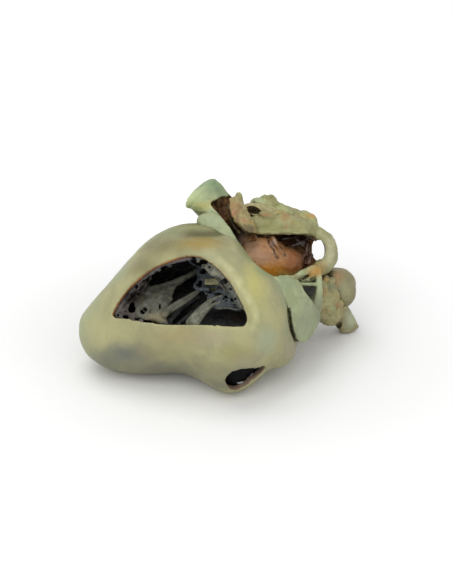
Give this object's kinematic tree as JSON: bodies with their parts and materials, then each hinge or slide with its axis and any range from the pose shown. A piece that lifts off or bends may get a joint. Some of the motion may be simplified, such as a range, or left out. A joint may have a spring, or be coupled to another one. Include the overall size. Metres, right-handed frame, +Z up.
{
  "type": "dog heart model",
  "caption": "Dissected dog's heart model lying on its side, with windows cut into both ventricles and the left atrium to show the muscles, valve and linings inside.",
  "frame": {"origin": "middle of the bounding box in plan, at the height of the table", "axes": "+X from the tip of the heart to its base, +Y away from the face with the windows, +Z up"},
  "size_m": [0.1292, 0.0972, 0.0828],
  "materials": {
    "heart_wall": "matte, mottled olive and cream",
    "chamber_lining": "matte, near black",
    "inner_muscle": "matte grey-green",
    "cords": "matte pale grey",
    "leaflet": "matte yellowish grey",
    "atrium_lining": "matte orange-brown",
    "trunk_wall": "matte tan",
    "trunk_lining": "matte dark brown",
    "auricle": "matte pale green-grey",
    "fat": "matte yellow-green",
    "vein": "matte grey-olive"
  },
  "bodies": {
    "root": {"right_ventricle_wall": "heart_wall", "left_ventricle_wall": "heart_wall", "right_ventricle_lining": "chamber_lining", "left_ventricle_lining": "chamber_lining", "large_papillary_muscle": "inner_muscle", "small_papillary_muscle": "inner_muscle", "moderator_band": "cords", "tip_muscle_bars": "inner_muscle", "right_valve_leaflet": "leaflet", "base_muscle_bars": "inner_muscle", "left_papillary_muscle": "inner_muscle", "left_valve_cords": "cords", "left_atrium": "heart_wall", "left_atrium_lining": "atrium_lining", "pulmonary_trunk": "trunk_wall", "pulmonary_trunk_lining": "trunk_lining", "right_auricle": "auricle", "right_auricle_lobe": "auricle", "vein_mouth_rim": "heart_wall", "left_auricle": "auricle", "aorta": "heart_wall", "brachiocephalic_trunk": "heart_wall", "left_subclavian_artery": "fat", "roof_fat": "fat", "atrium_roof": "heart_wall", "rear_roof_fat": "fat", "right_atrium": "heart_wall", "cranial_vena_cava": "vein", "azygos_vein": "vein", "caudal_vena_cava": "vein", "corner_fat": "fat", "lower_pulmonary_vein": "vein", "upper_pulmonary_vein": "vein"}
  },
  "joints": []
}
